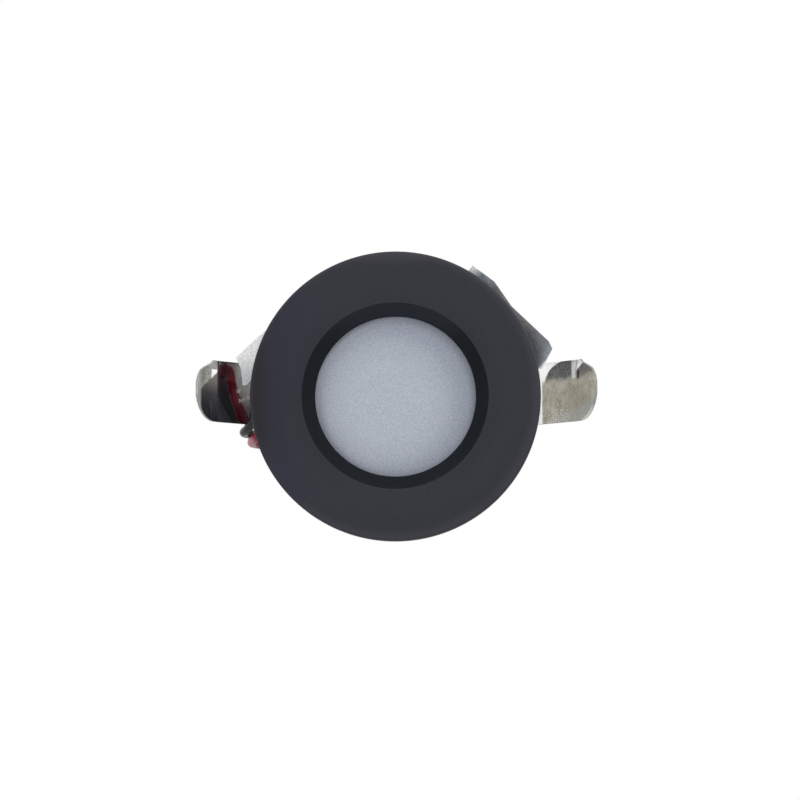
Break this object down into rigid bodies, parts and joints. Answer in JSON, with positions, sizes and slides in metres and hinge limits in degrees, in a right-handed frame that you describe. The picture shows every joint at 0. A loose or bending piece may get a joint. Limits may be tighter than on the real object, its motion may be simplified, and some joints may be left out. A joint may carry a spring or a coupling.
{
  "type": "recessed spotlight",
  "caption": "Small round recessed spotlight with a black flange, frosted window, finned body, sprung side clips and two free supply wires.",
  "frame": {"origin": "centre of the panel cut-out, in the plane of the panel's front face, where the back of the flange seats", "axes": "+Y along the lamp's axis into the panel, so the lit face looks towards -Y; +Z towards the top of the lamp as pictured; +X to the viewer's right"},
  "size_m": [0.0726, 0.0362, 0.052],
  "materials": {
    "black_paint": "satin black powder coat",
    "seal_silicone": "soft silicone",
    "frosted_diffuser": "frosted, fine speckle",
    "white_cup": "moulded white",
    "white_board": "white solder mask on a metal core",
    "phosphor": "yellow phosphor gel",
    "solder": "smooth solder",
    "screw_steel": "zinc plated",
    "thermal_grey": "soft grey pad",
    "cast_aluminium": "die cast, lightly blasted",
    "bracket_steel": "zinc plated sheet",
    "rivet_aluminium": "bright",
    "pin_steel": "drawn and polished",
    "clip_plated": "bright plated sheet with a slight haze",
    "spring_steel": "plated spring wire",
    "leaf_plated": "bright plated spring sheet",
    "grommet_rubber": "matt",
    "red_insulation": "glossy insulation",
    "black_insulation": "glossy insulation",
    "tinned_copper": "tinned strands"
  },
  "bodies": {
    "housing": {"bezel": "black_paint", "diffuser_seal": "seal_silicone", "diffuser": "frosted_diffuser", "light_cup": "white_cup", "led_board": "white_board", "led_chips": "phosphor", "solder_joints": "solder", "board_screws": "screw_steel", "thermal_pad": "thermal_grey", "heat_sink": "cast_aluminium", "body_screws": "screw_steel", "clip_bracket_right": "bracket_steel", "clip_bracket_left": "bracket_steel", "bracket_rivets": "rivet_aluminium", "clip_pin_right": "pin_steel", "clip_pin_left": "pin_steel", "torsion_spring_right": "spring_steel", "torsion_spring_left": "spring_steel", "leaf_spring": "leaf_plated", "spring_washer": "screw_steel", "spring_screw": "screw_steel", "grommet": "grommet_rubber", "inner_lead_red": "red_insulation", "inner_lead_black": "black_insulation", "wire_red": "red_insulation", "wire_black": "black_insulation", "wire_tip_red": "tinned_copper", "wire_tip_black": "tinned_copper"},
    "right_clip": {"clip_right": "clip_plated"},
    "left_clip": {"clip_left": "clip_plated"}
  },
  "joints": [
    {"name": "clip_right_hinge", "type": "hinge", "parent": "housing", "child": "right_clip", "pos_m": [0.0192, 0.026, 0.002], "axis": [0, 0, 1], "range_deg": [0, 145], "stiffness_Nm_per_rad": 0.05, "springref_deg": -40.11, "deforming": ["torsion_spring_right"]},
    {"name": "clip_left_hinge", "type": "hinge", "parent": "housing", "child": "left_clip", "pos_m": [-0.0192, 0.026, 0.002], "axis": [0, 0, -1], "range_deg": [0, 145], "stiffness_Nm_per_rad": 0.05, "springref_deg": -40.11, "deforming": ["torsion_spring_left"]}
  ]
}
